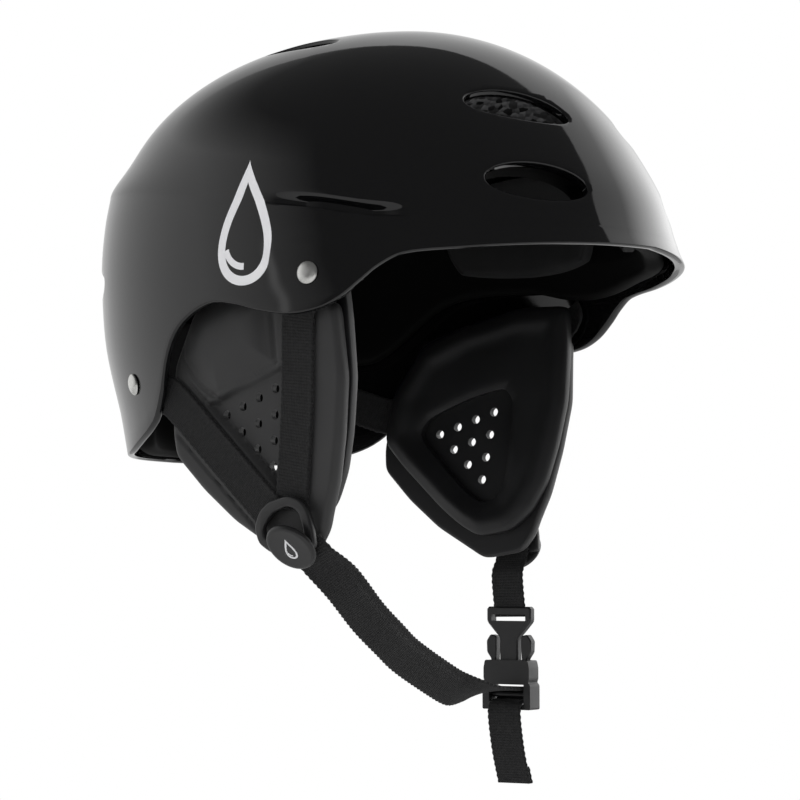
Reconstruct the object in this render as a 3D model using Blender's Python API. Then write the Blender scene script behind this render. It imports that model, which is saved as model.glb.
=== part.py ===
"""Water-sports helmet: hard shell, foam liner, swinging ear pads, chin strap and side-release buckle.

Metres, +Z up, the wearer faces -Y, the wearer's right is -X. The origin is the point under the crown
pad where the head carries the helmet. Heights in the tables below are measured from the brim edge.
"""

import math

import bmesh
import bpy
from mathutils import Matrix, Vector

BRIM_Z = -0.096  # height of the brim edge below the head seat
TOP = 0.1165  # crown of the shell above the brim edge
HALF_WIDTH = 0.1045
HALF_FRONT = 0.1245
HALF_REAR = 0.136
BRIM_FLARE = 0.012
REAR_KNEE = 0.0095
SHELL_T = 0.0032
LINER_OUT = 0.0050
LINER_IN = 0.0140
PAD_OUT = 0.0154
PAD_IN = 0.0205
WEB_W = 0.018
WEB_T = 0.0014
GAP = 0.0003
COLUMNS = 64
CROWN_ROWS = 8
BAND_ROWS = 4

EAR_FACE = 0.0895  # half distance of the ear pad's outer face, before it leans
EAR_TOE = 0.075
EAR_TILT = 0.12
EAR_BACK = 0.0830
RING_OUT = 0.0827
RING_IN = 0.0775

BUCKLE_X = 0.081
BUCKLE_Y = -0.007
BUCKLE_T = 0.0085

# plan direction in degrees from the front, and height
CREASE = (0, 0.017, 30, 0.017, 64, 0.0196, 78, 0.0246, 88, 0.028, 120, 0.041, 150, 0.047, 180, 0.049)
EDGE = (
    0, 0.010, 27, 0.0075, 50, 0.0044, 61, 0.0025, 66, -0.0022, 70, -0.0083, 74, -0.0145,
    78, -0.0186, 83, -0.0200, 89, -0.0174, 94, -0.0138, 99, -0.0126, 105, -0.0178,
    109, -0.0250, 112, -0.0350, 115, -0.0470, 120, -0.0590, 128, -0.0665, 140, -0.0712, 180, -0.0720,
)
LINER_EDGE = (
    0, 0.015, 50, 0.015, 70, 0.010, 84, 0.010, 105, 0.006, 120, -0.020, 134, -0.026,
    142, -0.056, 150, -0.068, 180, -0.070,
)
RIVETS = (("front", 79.0, -0.0037), ("rear", 125.6, -0.0422))
# name, plan direction, height, length, width, turn about the surface normal
VENTS = (
    ("front_upper", 29, 0.0690, 0.0470, 0.0170, 7),
    ("front_lower", 30.2, 0.0337, 0.0455, 0.0160, 3),
    ("top_rear", 104, 0.1060, 0.042, 0.0145, 4),
    ("rear", 149, 0.0065, 0.040, 0.0120, 0),
)


def clear_scene():
    for obj in list(bpy.data.objects):
        bpy.data.objects.remove(obj, do_unlink=True)


def material(name, colour, rough, metal=0.0):
    mat = bpy.data.materials.new(name)
    mat.use_nodes = True
    shader = mat.node_tree.nodes["Principled BSDF"]
    shader.inputs["Base Color"].default_value = (*colour, 1.0)
    shader.inputs["Roughness"].default_value = rough
    shader.inputs["Metallic"].default_value = metal
    return mat


GLOSS = ((0.006, 0.006, 0.007), 0.08)
FOAM = ((0.020, 0.020, 0.021), 0.75)
WEBBING = ((0.012, 0.012, 0.013), 0.85)
ACETAL = ((0.018, 0.018, 0.019), 0.42)
STEEL = ((0.70, 0.70, 0.69), 0.30, 1.0)


def finish(bm, name, look, smooth=True):
    bmesh.ops.recalc_face_normals(bm, faces=bm.faces)
    mesh = bpy.data.meshes.new(name)
    bm.to_mesh(mesh)
    bm.free()
    for poly in mesh.polygons:
        poly.use_smooth = smooth
    obj = bpy.data.objects.new(name, mesh)
    bpy.context.scene.collection.objects.link(obj)
    mesh.materials.append(material(name, *look))
    return obj


def table(pairs, x):
    """Smooth curve through (x, y) pairs."""
    xs = pairs[0::2]
    ys = pairs[1::2]
    last = len(xs) - 1

    def slope(i):
        a = max(i - 1, 0)
        b = min(i + 1, last)
        return (ys[b] - ys[a]) / (xs[b] - xs[a])

    x = min(max(x, xs[0]), xs[-1])
    i = 0
    while i < last - 1 and x > xs[i + 1]:
        i += 1
    h = xs[i + 1] - xs[i]
    t = (x - xs[i]) / h
    start = ys[i] * (1 + 2 * t) * (1 - t) ** 2 + h * slope(i) * t * (1 - t) ** 2
    end = ys[i + 1] * t * t * (3 - 2 * t) + h * slope(i + 1) * t * t * (t - 1)
    return start + end


def blend_round(u, front, side, rear):
    c = math.cos(u)
    w = abs(c) ** 1.5
    return side + ((front if c > 0 else rear) - side) * w


def direction(u):
    """Plan direction in degrees, 0 to 180, on either side."""
    d = abs(math.degrees(u)) % 360
    return 360 - d if d > 180 else d


SIDE_BAND = (0, 0, 0.012, 0.0015, 0.030, 0.0025, 0.050, 0.0015, 0.070, -0.001, 0.100, -0.006)
REAR_BAND = (0, 0, 0.012, 0.0025, 0.030, 0.0042, 0.046, 0.0040, 0.070, 0.0021, 0.100, -0.006, 0.122, -0.012)


def surface(u, h, inset=0.0):
    """Point of the shell's outer surface, moved in by inset, at plan angle u and height h."""
    crease = table(CREASE, direction(u))
    top = TOP - inset
    up = min(max((h - crease) / (top - crease), 0.0), 1.0)
    dome = (1 - up ** blend_round(u, 1.58, 2.14, 1.5)) ** (1 / blend_round(u, 2.2, 2.0, 2.32))
    down = max(crease - h, 0.0)
    side = (HALF_WIDTH - inset) * dome + table(SIDE_BAND, down)
    front = (HALF_FRONT - inset) * dome + BRIM_FLARE * min(down / 0.017, 2.5)
    knee = REAR_KNEE * math.exp(-((max(h - crease, 0.0) / 0.010) ** 2))
    rear = (HALF_REAR - inset) * dome + knee + table(REAR_BAND, down)
    c = math.cos(u)
    s = math.sin(u)
    x = side * math.copysign(abs(s) ** (2 / 2.05), s)
    y = (front if c > 0 else rear) * math.copysign(abs(c) ** (2 / 2.045), c)
    return Vector((x, -y, h + BRIM_Z))


def height(u, row, rows, inset, bottom):
    """Height of a grid row: crown rows spread by angle, band rows evenly."""
    crease = max(table(CREASE, direction(u)), bottom + 0.004)
    top = TOP - inset
    if row <= CROWN_ROWS:
        t = row / CROWN_ROWS
        return top - (top - crease) * (1 - math.cos(t * math.pi / 2)) ** 0.9
    return crease + (bottom - crease) * (row - CROWN_ROWS) / (rows - CROWN_ROWS)


def dome_skin(bm, inset, edge, columns=COLUMNS):
    """One closed-top skin from crown to edge. Returns its last ring."""
    rows = CROWN_ROWS + BAND_ROWS
    pole = bm.verts.new((0, 0, TOP - inset + BRIM_Z))
    rings = []
    for row in range(1, rows + 1):
        ring = []
        for i in range(columns):
            u = -math.pi + 2 * math.pi * i / columns
            h = height(u, row, rows, inset, table(edge, direction(u)))
            ring.append(bm.verts.new(surface(u, h, inset)))
        rings.append(ring)
    for i in range(columns):
        bm.faces.new((pole, rings[0][i], rings[0][(i + 1) % columns]))
    for a, b in zip(rings[:-1], rings[1:]):
        for i in range(columns):
            j = (i + 1) % columns
            bm.faces.new((a[i], b[i], b[j], a[j]))
    return rings[-1]


def dome_shell(name, outer, inner, edge, look, columns=COLUMNS):
    bm = bmesh.new()
    a = dome_skin(bm, outer, edge, columns)
    b = dome_skin(bm, inner, edge, columns)
    for i in range(columns):
        j = (i + 1) % columns
        bm.faces.new((a[i], b[i], b[j], a[j]))
    return finish(bm, name, look)


def surface_frame(u, h, inset=0.0):
    """Point, outward normal, level tangent and up tangent on the shell."""
    p = surface(u, h, inset)
    du = surface(u + 0.01, h, inset) - surface(u - 0.01, h, inset)
    dh = surface(u, h + 0.001, inset) - surface(u, h - 0.001, inset)
    normal = du.cross(dh).normalized()
    level = Vector((0, 0, 1)).cross(normal).normalized()
    return p, normal, level, normal.cross(level)


def place(obj, origin, x_axis, y_axis, z_axis):
    turn = Matrix((x_axis, y_axis, z_axis)).transposed().to_4x4()
    obj.data.transform(Matrix.Translation(origin) @ turn)
    obj.data.update()


def prism(name, outline, low, high, look, smooth=False):
    """Straight solid from a plan outline, from low to high along Z."""
    bm = bmesh.new()
    base = [bm.verts.new((x, y, low)) for x, y in outline]
    lid = [bm.verts.new((x, y, high)) for x, y in outline]
    count = len(outline)
    bm.faces.new(base)
    bm.faces.new(lid)
    for i in range(count):
        j = (i + 1) % count
        bm.faces.new((base[i], base[j], lid[j], lid[i]))
    return finish(bm, name, look, smooth)


def ellipse(length, width, steps):
    turn = 2 * math.pi / steps
    return [(length / 2 * math.cos(i * turn), width / 2 * math.sin(i * turn)) for i in range(steps)]


def cut(target, cutter):
    mod = target.modifiers.new("cut", "BOOLEAN")
    mod.operation = "DIFFERENCE"
    mod.solver = "EXACT"
    mod.object = cutter
    cutter.hide_render = True
    cutter.display_type = "WIRE"


def vent_cutters(side):
    found = []
    for name, degrees, h, length, width, turn in VENTS:
        u = math.radians(degrees) * side
        p, normal, level, up = surface_frame(u, h)
        cutter = prism("cut_" + name, ellipse(length, width, 16), -0.024, 0.012, GLOSS)
        cutter.data.transform(Matrix.Rotation(math.radians(turn) * side, 4, "Z"))
        place(cutter, p, level, up, normal)
        found.append(cutter)
    return found


def rivet(name, u, h):
    """Domed head outside the shell and a shank through it, turned about its own axis."""
    p, normal, level, up = surface_frame(u, h)
    rings = ((0.0021, -0.0034), (0.0021, 0.0003), (0.0047, 0.0003), (0.0046, 0.0009), (0.0030, 0.0018))
    bm = bmesh.new()
    steps = 16
    last = None
    for radius, z in rings:
        ring = [bm.verts.new((x, y, z)) for x, y in ellipse(2 * radius, 2 * radius, steps)]
        for i in range(steps if last else 0):
            j = (i + 1) % steps
            bm.faces.new((last[i], last[j], ring[j], ring[i]))
        if last is None:
            bm.faces.new(ring)
        last = ring
    tip = bm.verts.new((0, 0, 0.0022))
    for i in range(steps):
        bm.faces.new((last[i], last[(i + 1) % steps], tip))
    obj = finish(bm, name, STEEL)
    place(obj, p, level, up, normal)
    return obj


def rivet_hole(u, h):
    p, normal, level, up = surface_frame(u, h)
    cutter = prism("cut_rivet", ellipse(0.005, 0.005, 12), -0.008, 0.004, GLOSS)
    place(cutter, p, level, up, normal)
    return cutter


def patch(name, u0, u1, h0, h1, look, columns=12, rows=8):
    """Comfort pad: a rounded panel that lies on the inside of the liner."""
    bm = bmesh.new()
    skins = []
    for inset, grow in ((PAD_OUT, 1.0), (PAD_IN, 0.86)):
        skin = []
        for row in range(rows + 1):
            line = []
            for i in range(columns + 1):
                a = -1 + 2 * i / columns
                b = -1 + 2 * row / rows
                a, b = a * math.sqrt(1 - 0.30 * b * b), b * math.sqrt(1 - 0.30 * a * a)
                u = math.radians((u0 + u1) / 2 + a * grow * (u1 - u0) / 2)
                h = (h0 + h1) / 2 + b * grow * (h1 - h0) / 2
                line.append(bm.verts.new(surface(u, h, inset)))
            skin.append(line)
        skins.append(skin)
        for r in range(rows):
            for i in range(columns):
                bm.faces.new((skin[r][i], skin[r][i + 1], skin[r + 1][i + 1], skin[r + 1][i]))
    rims = []
    for skin in skins:
        rim = skin[0] + [line[-1] for line in skin[1:]]
        rim += skin[-1][-2::-1] + [line[0] for line in skin[-2:0:-1]]
        rims.append(rim)
    count = len(rims[0])
    for i in range(count):
        j = (i + 1) % count
        bm.faces.new((rims[0][i], rims[0][j], rims[1][j], rims[1][i]))
    return finish(bm, name, look)


def crown_pad():
    """Round pad under the crown. Its underside is the head seat."""
    bm = bmesh.new()
    columns = 24
    rims = []
    for inset, grow in ((PAD_OUT, 1.0), (PAD_IN, 0.9)):
        pole = bm.verts.new((0, 0, TOP - inset + BRIM_Z))
        last = None
        for step in (0.35, 0.7, 1.0):
            ring = []
            for i in range(columns):
                u = -math.pi + 2 * math.pi * i / columns
                h = TOP - inset - 0.0125 * (step * grow) ** 2
                ring.append(bm.verts.new(surface(u, h, inset)))
            for i in range(columns):
                j = (i + 1) % columns
                if last:
                    bm.faces.new((last[i], ring[i], ring[j], last[j]))
                else:
                    bm.faces.new((pole, ring[i], ring[j]))
            last = ring
        rims.append(last)
    for i in range(columns):
        j = (i + 1) % columns
        bm.faces.new((rims[0][i], rims[1][i], rims[1][j], rims[0][j]))
    return finish(bm, "crown_pad", FOAM)


def lean(y, h):
    """How far the ear pad comes in towards the cheek at depth y and height h."""
    return EAR_TOE * (y - 0.0033) + EAR_TILT * (-0.048 - h)


def ear_point(side, d, y, h):
    return Vector((side * (d - lean(y, h)), y, h + BRIM_Z))


def to_ear(obj, side):
    """Move a solid drawn flat (x = y of the helmet, y = height, z = distance out) onto the ear."""
    for vert in obj.data.vertices:
        y, h, d = vert.co
        vert.co = ear_point(side, d, y, h)
    if side < 0:
        obj.data.flip_normals()
    obj.data.update()


def rounded(points, radius, steps=3):
    """Outline with every corner turned into an arc of short edges."""
    out = []
    count = len(points)
    for i in range(count):
        corner = Vector(points[i])
        before = (Vector(points[i - 1]) - corner).normalized()
        after = (Vector(points[(i + 1) % count]) - corner).normalized()
        a = corner + before * radius
        b = corner + after * radius
        for k in range(steps + 1):
            t = k / steps
            p = a * (1 - t) ** 2 + corner * 2 * t * (1 - t) + b * t * t
            out.append((p.x, p.y))
    return out


EAR_OUTLINE = (
    (-0.0345, -0.0150), (-0.0360, -0.0450), (-0.0320, -0.0680), (-0.0270, -0.0880), (-0.0205, -0.1060),
    (-0.0130, -0.1145), (0.0040, -0.1175), (0.0150, -0.1115), (0.0300, -0.1030), (0.0470, -0.0895),
    (0.0620, -0.0745), (0.0630, -0.0640), (0.0590, -0.0360), (0.0450, -0.0130), (0.0200, -0.0040),
)
EAR_WINDOW = ((0.000, -0.0405), (0.0395, -0.0530), (0.0030, -0.0930))
EAR_RECESS = ((-0.003, -0.0385), (0.0440, -0.0540), (0.0040, -0.0975))
HOLE_ROWS = ((0.0033, -0.0480, 4), (0.0047, -0.0588, 3), (0.0061, -0.0696, 2), (0.0075, -0.0803, 1))


def drilled_holes():
    """Ten small holes on a slanted triangular grid, one cutter."""
    bm = bmesh.new()
    for y0, h0, count in HOLE_ROWS:
        for i in range(count):
            spot = Matrix.Translation((y0 + 0.0096 * i, h0 - 0.0033 * i, EAR_BACK))
            bmesh.ops.create_cone(
                bm, cap_ends=True, segments=8, radius1=0.0021, radius2=0.0021, depth=0.012, matrix=spot
            )
    return finish(bm, "cut_holes", FOAM)


def bevel(obj, width, segments=1):
    mod = obj.modifiers.new("bevel", "BEVEL")
    mod.width = width
    mod.segments = segments
    mod.limit_method = "ANGLE"
    mod.angle_limit = math.radians(40)


def ear_pad(side, hand):
    outer = prism("ear_pad_outer_" + hand, rounded(EAR_OUTLINE, 0.004, 2), EAR_BACK, EAR_FACE, FOAM)
    pocket = prism("cut_pocket", rounded(EAR_WINDOW, 0.006), 0.0858, 0.100, FOAM)
    holes = drilled_holes()
    for obj in (outer, pocket, holes):
        to_ear(obj, side)
    cut(outer, pocket)
    cut(outer, holes)
    inner = prism("ear_pad_inner_" + hand, rounded(EAR_OUTLINE, 0.004, 2), RING_IN, RING_OUT, FOAM)
    window = prism("cut_window", rounded(EAR_RECESS, 0.006), 0.070, 0.090, FOAM)
    for obj in (inner, window):
        to_ear(obj, side)
    cut(inner, window)


def ribbon(name, stations, width=WEB_W, thick=WEB_T, look=WEBBING):
    """Flat webbing through (point, face normal) stations."""
    bm = bmesh.new()
    last = None
    count = len(stations)
    for i in range(count):
        p, n = stations[i]
        ahead = Vector(stations[min(i + 1, count - 1)][0])
        behind = Vector(stations[max(i - 1, 0)][0])
        along = (ahead - behind).normalized()
        n = Vector(n)
        n = (n - along * n.dot(along)).normalized()
        across = along.cross(n) * width / 2
        rise = n * thick / 2
        p = Vector(p)
        ring = [bm.verts.new(p + a * across + b * rise) for a, b in ((1, 1), (-1, 1), (-1, -1), (1, -1))]
        if last:
            for k in range(4):
                m = (k + 1) % 4
                bm.faces.new((last[k], last[m], ring[m], ring[k]))
        else:
            bm.faces.new(ring)
        last = ring
    bm.faces.new(last)
    bmesh.ops.triangulate(bm, faces=bm.faces)
    return finish(bm, name, look, smooth=False)


def smooth_run(run, steps=4):
    """The same run with a smooth curve through its stations and steps between each pair."""
    out = []
    last = len(run) - 1
    for i in range(last):
        a, b, c, d = [Vector(run[min(max(k, 0), last)][0]) for k in (i - 1, i, i + 1, i + 2)]
        for k in range(steps):
            t = k / steps
            p = b + (c - a) * t / 2 + (a * 2 - b * 5 + c * 4 - d) * t * t / 2 + (b * 3 - a - c * 3 + d) * t**3 / 2
            out.append((p, Vector(run[i][1]).lerp(Vector(run[i + 1][1]), t)))
    out.append((Vector(run[last][0]), Vector(run[last][1])))
    return out


def ear_ribbon(name, side, points):
    d = EAR_FACE + GAP + WEB_T / 2
    stations = [(ear_point(side, d, y, h), (side, EAR_TOE, -EAR_TILT)) for y, h in points]
    return ribbon(name, stations)


def tab(name, side, u, h, behind, end):
    """Webbing end riveted under the shell: from behind the rivet to its exit point."""
    normal = surface_frame(u, h)[1]
    turn, rise = behind
    stations = [(surface(u + math.radians(turn) * side, h + rise, 0.0058), normal)]
    stations.append((surface(u, h, 0.0058), normal))
    x, y, z = end
    stations.append((Vector((side * x, y, z + BRIM_Z)), normal))
    return ribbon(name, stations, width=0.016, thick=0.0012)


def arch_ring(name, side):
    """Divider: an arched ring that gathers the two straps above the round button."""
    outline = ((-0.0195, -0.1110), (-0.0165, -0.0965), (-0.0040, -0.0925), (0.0080, -0.0965),
               (0.0135, -0.1050), (0.0080, -0.1120))
    window = ((-0.0140, -0.1065), (-0.0125, -0.0985), (-0.0040, -0.0960), (0.0060, -0.0990),
              (0.0095, -0.1050), (0.0050, -0.1065))
    d = EAR_FACE + 0.0022
    ring = prism(name, rounded(outline, 0.003, 2), d, d + 0.0032, ACETAL)
    hole = prism("cut_ring", rounded(window, 0.001, 1), d - 0.002, d + 0.006, ACETAL)
    to_ear(ring, side)
    to_ear(hole, side)
    cut(ring, hole)


def button(name, side):
    """Round cap of the divider, tipped so that it faces out and down."""
    disc = prism(name, ellipse(0.0215, 0.0215, 28), -0.0013, 0.0013, ACETAL)
    tip = math.radians(37)
    out = Vector((side * math.cos(tip), 0, -math.sin(tip)))
    level = Vector((0, side, 0))
    place(disc, ear_point(side, EAR_FACE + 0.0060, -0.0070, -0.1145), level, out.cross(level), out)
    bevel(disc, 0.0007, 2)


def ear(side):
    hand = "right" if side < 0 else "left"
    ear_pad(side, hand)
    ear_ribbon("front_strap_" + hand, side, ((-0.0154, -0.0215), (-0.0116, -0.0560), (-0.0060, -0.0905)))
    ear_ribbon("rear_strap_" + hand, side, ((0.0590, -0.0502), (0.0350, -0.0732), (0.0165, -0.0910)))
    arch_ring("strap_divider_" + hand, side)
    button("divider_button_" + hand, side)
    for spot, degrees, h in RIVETS:
        rivet("rivet_{}_{}".format(spot, hand), math.radians(degrees) * side, h)
    front = math.radians(RIVETS[0][1]) * side
    rear = math.radians(RIVETS[1][1]) * side
    tab("front_strap_end_" + hand, side, front, RIVETS[0][2], (0, 0.004), (0.0973, -0.0182, -0.0140))
    tab("rear_strap_end_" + hand, side, rear, RIVETS[1][2], (2.5, 0.002), (0.0838, 0.0690, -0.0470))


def hang(obj, x=BUCKLE_X):
    """Stand a solid drawn flat (x = y of the helmet, y = height, z = thickness) at the buckle."""
    for vert in obj.data.vertices:
        y, h, t = vert.co
        vert.co = (x + t, BUCKLE_Y + y, h + BRIM_Z)
    obj.data.update()


def mirrored(half):
    return list(half) + [(-y, h) for y, h in reversed(half)]


def slab(name, outline, thick, radius, look=ACETAL, x=BUCKLE_X, edge=0.0008):
    obj = prism(name, rounded(outline, radius, 2) if radius else outline, -thick / 2, thick / 2, look)
    hang(obj, x)
    if edge:
        bevel(obj, edge)
    return obj


def box_cut(name, y, low, high, thick):
    cutter = slab(name, ((-y, low), (y, low), (y, high), (-y, high)), thick, 0, edge=0)
    return cutter


def buckle():
    half = ((0.0122, -0.1405), (0.0122, -0.1475), (0.0080, -0.1520), (0.0050, -0.1550), (0.0050, -0.1715))
    male = slab("buckle_male", mirrored(half), 0.0044, 0.0012)
    cut(male, box_cut("cut_male_slot", 0.0094, -0.1472, -0.1442, 0.012))
    for sign, name in ((-1, "buckle_prong_front"), (1, "buckle_prong_rear")):
        shape = ((0.0068, -0.1542), (0.0102, -0.1535), (0.0124, -0.1565), (0.0122, -0.1618), (0.0098, -0.1650),
                 (0.0098, -0.1700), (0.0074, -0.1700), (0.0068, -0.1600))
        slab(name, [(sign * y, h) for y, h in shape], 0.0042, 0.0008, edge=0.0005)
    half = ((0.0118, -0.1655), (0.0126, -0.1690), (0.0126, -0.1745), (0.0118, -0.1757),
            (0.0132, -0.1770), (0.0132, -0.1885))
    female = slab("buckle_female", mirrored(half), BUCKLE_T, 0.0008)
    cut(female, box_cut("cut_socket", 0.0104, -0.1740, -0.1600, 0.0050))
    cut(female, box_cut("cut_ladder", 0.0096, -0.1860, -0.1768, 0.0200))
    bar = prism("buckle_bar", ellipse(0.0026, 0.0026, 12), -0.0112, 0.0112, ACETAL, smooth=True)
    place(bar, (BUCKLE_X, BUCKLE_Y, -0.1815 + BRIM_Z), Vector((0, 0, 1)), Vector((1, 0, 0)), Vector((0, 1, 0)))
    for end in (-1, 1):
        seat = prism("cut_bar_seat", ellipse(0.0032, 0.0032, 12), 0.0090 * end, 0.0116 * end, ACETAL)
        place(seat, (BUCKLE_X, BUCKLE_Y, -0.1815 + BRIM_Z), Vector((0, 0, 1)), Vector((1, 0, 0)), Vector((0, 1, 0)))
        cut(female, seat)


def chin_straps():
    """Webbing that hangs between the two dividers, in world x, y and height from the brim."""
    face = {"a": (-0.56, -0.25, -0.80), "b": (-0.55, -0.70, -0.50), "c": (-0.40, -0.72, -0.55)}
    right = (
        ((-0.0795, -0.0130, -0.1185), face["a"]), ((-0.0660, -0.0150, -0.1300), (-0.60, -0.50, -0.62)),
        ((-0.0420, -0.0130, -0.1430), face["b"]), ((-0.0230, -0.0110, -0.1530), (-0.45, -0.75, -0.50)),
        ((-0.0080, -0.0090, -0.1602), face["c"]),
    )
    front = (
        ((-0.0068, -0.0089, -0.1608), face["c"]), ((0.0200, -0.0070, -0.1700), (-0.35, -0.70, -0.60)),
        ((0.0480, -0.0060, -0.1768), (-0.15, -0.45, -0.88)), ((0.0640, -0.0068, -0.1784), (0, -0.10, -1)),
        ((0.0755, -0.0070, -0.1788), (0, 0, -1)),
    )
    left = (
        ((0.0842, -0.0065, -0.1128), (-1, 0, 0)), ((0.0827, -0.0065, -0.1178), (-1, 0, 0)),
        ((0.0790, -0.0066, -0.1240), (-1, 0, 0)), ((0.0790, -0.0068, -0.1320), (-1, 0, 0)),
        ((0.0810, -0.0070, -0.1400), (-1, 0, 0)),
    )
    tail = (
        ((0.0755, -0.0070, -0.1830), (-1, 0, 0)), ((0.0750, -0.0072, -0.1930), (-1, 0, 0)),
        ((0.0780, -0.0074, -0.2080), (-1, 0, 0)), ((0.0830, -0.0076, -0.2235), (-1, 0, 0)),
    )
    for name, run in (("chin_strap_right", right), ("chin_strap_front", front),
                      ("chin_strap_left", left), ("strap_tail", tail)):
        ribbon(name, [(p + Vector((0, 0, BRIM_Z)), n) for p, n in smooth_run(run)])


def build_helmet():
    shell = dome_shell("outer_shell", 0.0, SHELL_T, EDGE, GLOSS)
    liner = dome_shell("foam_liner", LINER_OUT, LINER_IN, LINER_EDGE, FOAM, 48)
    for side in (-1, 1):
        for cutter in vent_cutters(side):
            cut(shell, cutter)
            cut(liner, cutter)
        for name, degrees, h in RIVETS:
            cut(shell, rivet_hole(math.radians(degrees) * side, h))
    crown_pad()
    patch("brow_pad", -40, 40, 0.0165, 0.0295, FOAM, 14, 4)
    patch("side_pad_left", 58, 104, 0.016, 0.062, FOAM, 8, 5)
    patch("side_pad_right", -104, -58, 0.016, 0.062, FOAM, 8, 5)
    patch("rear_pad", 157, 203, -0.052, -0.004, FOAM, 8, 5)


def main():
    clear_scene()
    build_helmet()
    for side in (-1, 1):
        ear(side)
    buckle()
    chin_straps()


main()
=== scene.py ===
"""Looks of the water-sports helmet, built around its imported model.

Metres, +Z up, the wearer faces -Y, the wearer's right is -X. Heights in the tables are from the brim edge.
"""

import math

import bmesh
import bpy
from mathutils import Matrix, Vector
from mathutils.bvhtree import BVHTree


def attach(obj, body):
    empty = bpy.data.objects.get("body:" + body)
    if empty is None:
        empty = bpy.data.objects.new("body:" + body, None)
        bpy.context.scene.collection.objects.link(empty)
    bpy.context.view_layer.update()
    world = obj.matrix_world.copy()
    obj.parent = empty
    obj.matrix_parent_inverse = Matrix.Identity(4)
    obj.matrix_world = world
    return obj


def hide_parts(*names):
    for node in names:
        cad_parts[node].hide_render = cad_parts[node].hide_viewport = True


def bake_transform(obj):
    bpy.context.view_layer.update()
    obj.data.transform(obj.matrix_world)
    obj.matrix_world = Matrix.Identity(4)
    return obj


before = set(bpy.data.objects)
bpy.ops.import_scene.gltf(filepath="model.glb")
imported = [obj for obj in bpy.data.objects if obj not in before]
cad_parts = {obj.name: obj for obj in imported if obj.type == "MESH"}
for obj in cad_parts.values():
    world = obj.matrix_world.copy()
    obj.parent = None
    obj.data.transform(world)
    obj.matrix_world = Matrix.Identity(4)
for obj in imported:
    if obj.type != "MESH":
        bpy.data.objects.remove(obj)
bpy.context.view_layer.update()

# ---- the shell's surface, as the CAD part has it
BRIM_Z = -0.096  # the brim edge in the frame; every height below starts from it
TOP = 0.1165
HALF_WIDTH = 0.1045
HALF_FRONT = 0.1245
HALF_REAR = 0.136
UP_POWER = (1.58, 2.14, 1.5)  # how the dome's profile rounds at the front, side and rear
DOME_POWER = (2.2, 2.0, 2.32)
PLAN_X = 2.05  # powers of the plan outline
PLAN_Y = 2.045
BRIM_FLARE = 0.012
FLARE_DROP = 0.017  # how far below the crease the brim has flared by BRIM_FLARE
REAR_KNEE = 0.0095
KNEE_SPREAD = 0.010
SHELL_T = 0.0032
LINER_OUT = 0.0050  # depths under the shell's outer face
LINER_IN = 0.0140
PAD_OUT = 0.0154
PAD_IN = 0.0205
WEB_W = 0.018
WEB_T = 0.0014
STRAP_W = 0.0176
EAR_FACE = 0.0895  # distances of the ear pad's layers from the middle plane, at the pad's own origin
EAR_BACK = 0.0830
RING_OUT = 0.0827
RING_IN = 0.0775
EAR_TOE = 0.075  # slopes of those layers towards the front and the chin
EAR_TILT = 0.12

# tables of plan direction from the front in degrees, then height
CREASE = (0, 0.017, 30, 0.017, 64, 0.0196, 78, 0.0246, 88, 0.028, 120, 0.041, 150, 0.047, 180, 0.049)
EDGE = (
    0, 0.010, 27, 0.0075, 50, 0.0044, 61, 0.0025, 66, -0.0022, 70, -0.0083, 74, -0.0145,
    78, -0.0186, 83, -0.0200, 89, -0.0174, 94, -0.0138, 99, -0.0126, 105, -0.0178,
    109, -0.0250, 112, -0.0350, 115, -0.0470, 120, -0.0590, 128, -0.0665, 140, -0.0712, 180, -0.0720,
)
LINER_EDGE = (
    0, 0.013, 24, 0.012, 32, 0.0085, 50, 0.0068, 66, 0.0032, 76, 0.0045, 86, 0.009, 105, 0.006,
    120, -0.020, 134, -0.026, 142, -0.056, 150, -0.068, 180, -0.070,
)
RIVETS = (("front", 79.0, -0.0037), ("rear", 125.6, -0.0422))
# plan direction, height, length, width and turn of the vents on each side
VENTS = (
    (29, 0.0690, 0.0470, 0.0170, 7),
    (30.2, 0.0337, 0.0455, 0.0160, 3),
    (104, 0.1060, 0.042, 0.0145, 4),
    (149, 0.0065, 0.040, 0.0120, 0),
)
# how far the band under the crease stands out, by depth below the crease
SIDE_BAND = (0, 0, 0.012, 0.0015, 0.030, 0.0025, 0.050, 0.0015, 0.070, -0.001, 0.100, -0.006)
REAR_BAND = (0, 0, 0.012, 0.0025, 0.030, 0.0042, 0.046, 0.0040, 0.070, 0.0021, 0.100, -0.006, 0.122, -0.012)
# depth of the pocket at the dome's side crease, by plan direction
POCKET = (0, 0, 52, 0, 58, 0.0006, 64, 0.0030, 71, 0.0040, 78, 0.0036, 83, 0.0020, 87, 0.0005, 91, 0,
          140, 0, 180, 0)
POCKET_FADE = (0.0012, 0.0056)  # heights over the crease between which the pocket runs out
LOBE = 0.0013  # how proud the lobe between the pocket and the front rivet is
FRONT_END = (42.0, 66.0)  # plan directions between which the front's own brim shape runs out
BRIM_SOFT = 0.006  # rounding of the fold where the brim starts
BRIM_SWELL = 0.0012
BRIM_LIP = 0.0005


def table(pairs, x):
    """Smooth curve through (x, y) pairs."""
    xs = pairs[0::2]
    ys = pairs[1::2]
    last = len(xs) - 1

    def slope(i):
        a = max(i - 1, 0)
        b = min(i + 1, last)
        return (ys[b] - ys[a]) / (xs[b] - xs[a])

    x = min(max(x, xs[0]), xs[-1])
    i = 0
    while i < last - 1 and x > xs[i + 1]:
        i += 1
    h = xs[i + 1] - xs[i]
    t = (x - xs[i]) / h
    start = ys[i] * (1 + 2 * t) * (1 - t) ** 2 + h * slope(i) * t * (1 - t) ** 2
    end = ys[i + 1] * t * t * (3 - 2 * t) + h * slope(i + 1) * t * t * (t - 1)
    return start + end


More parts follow.
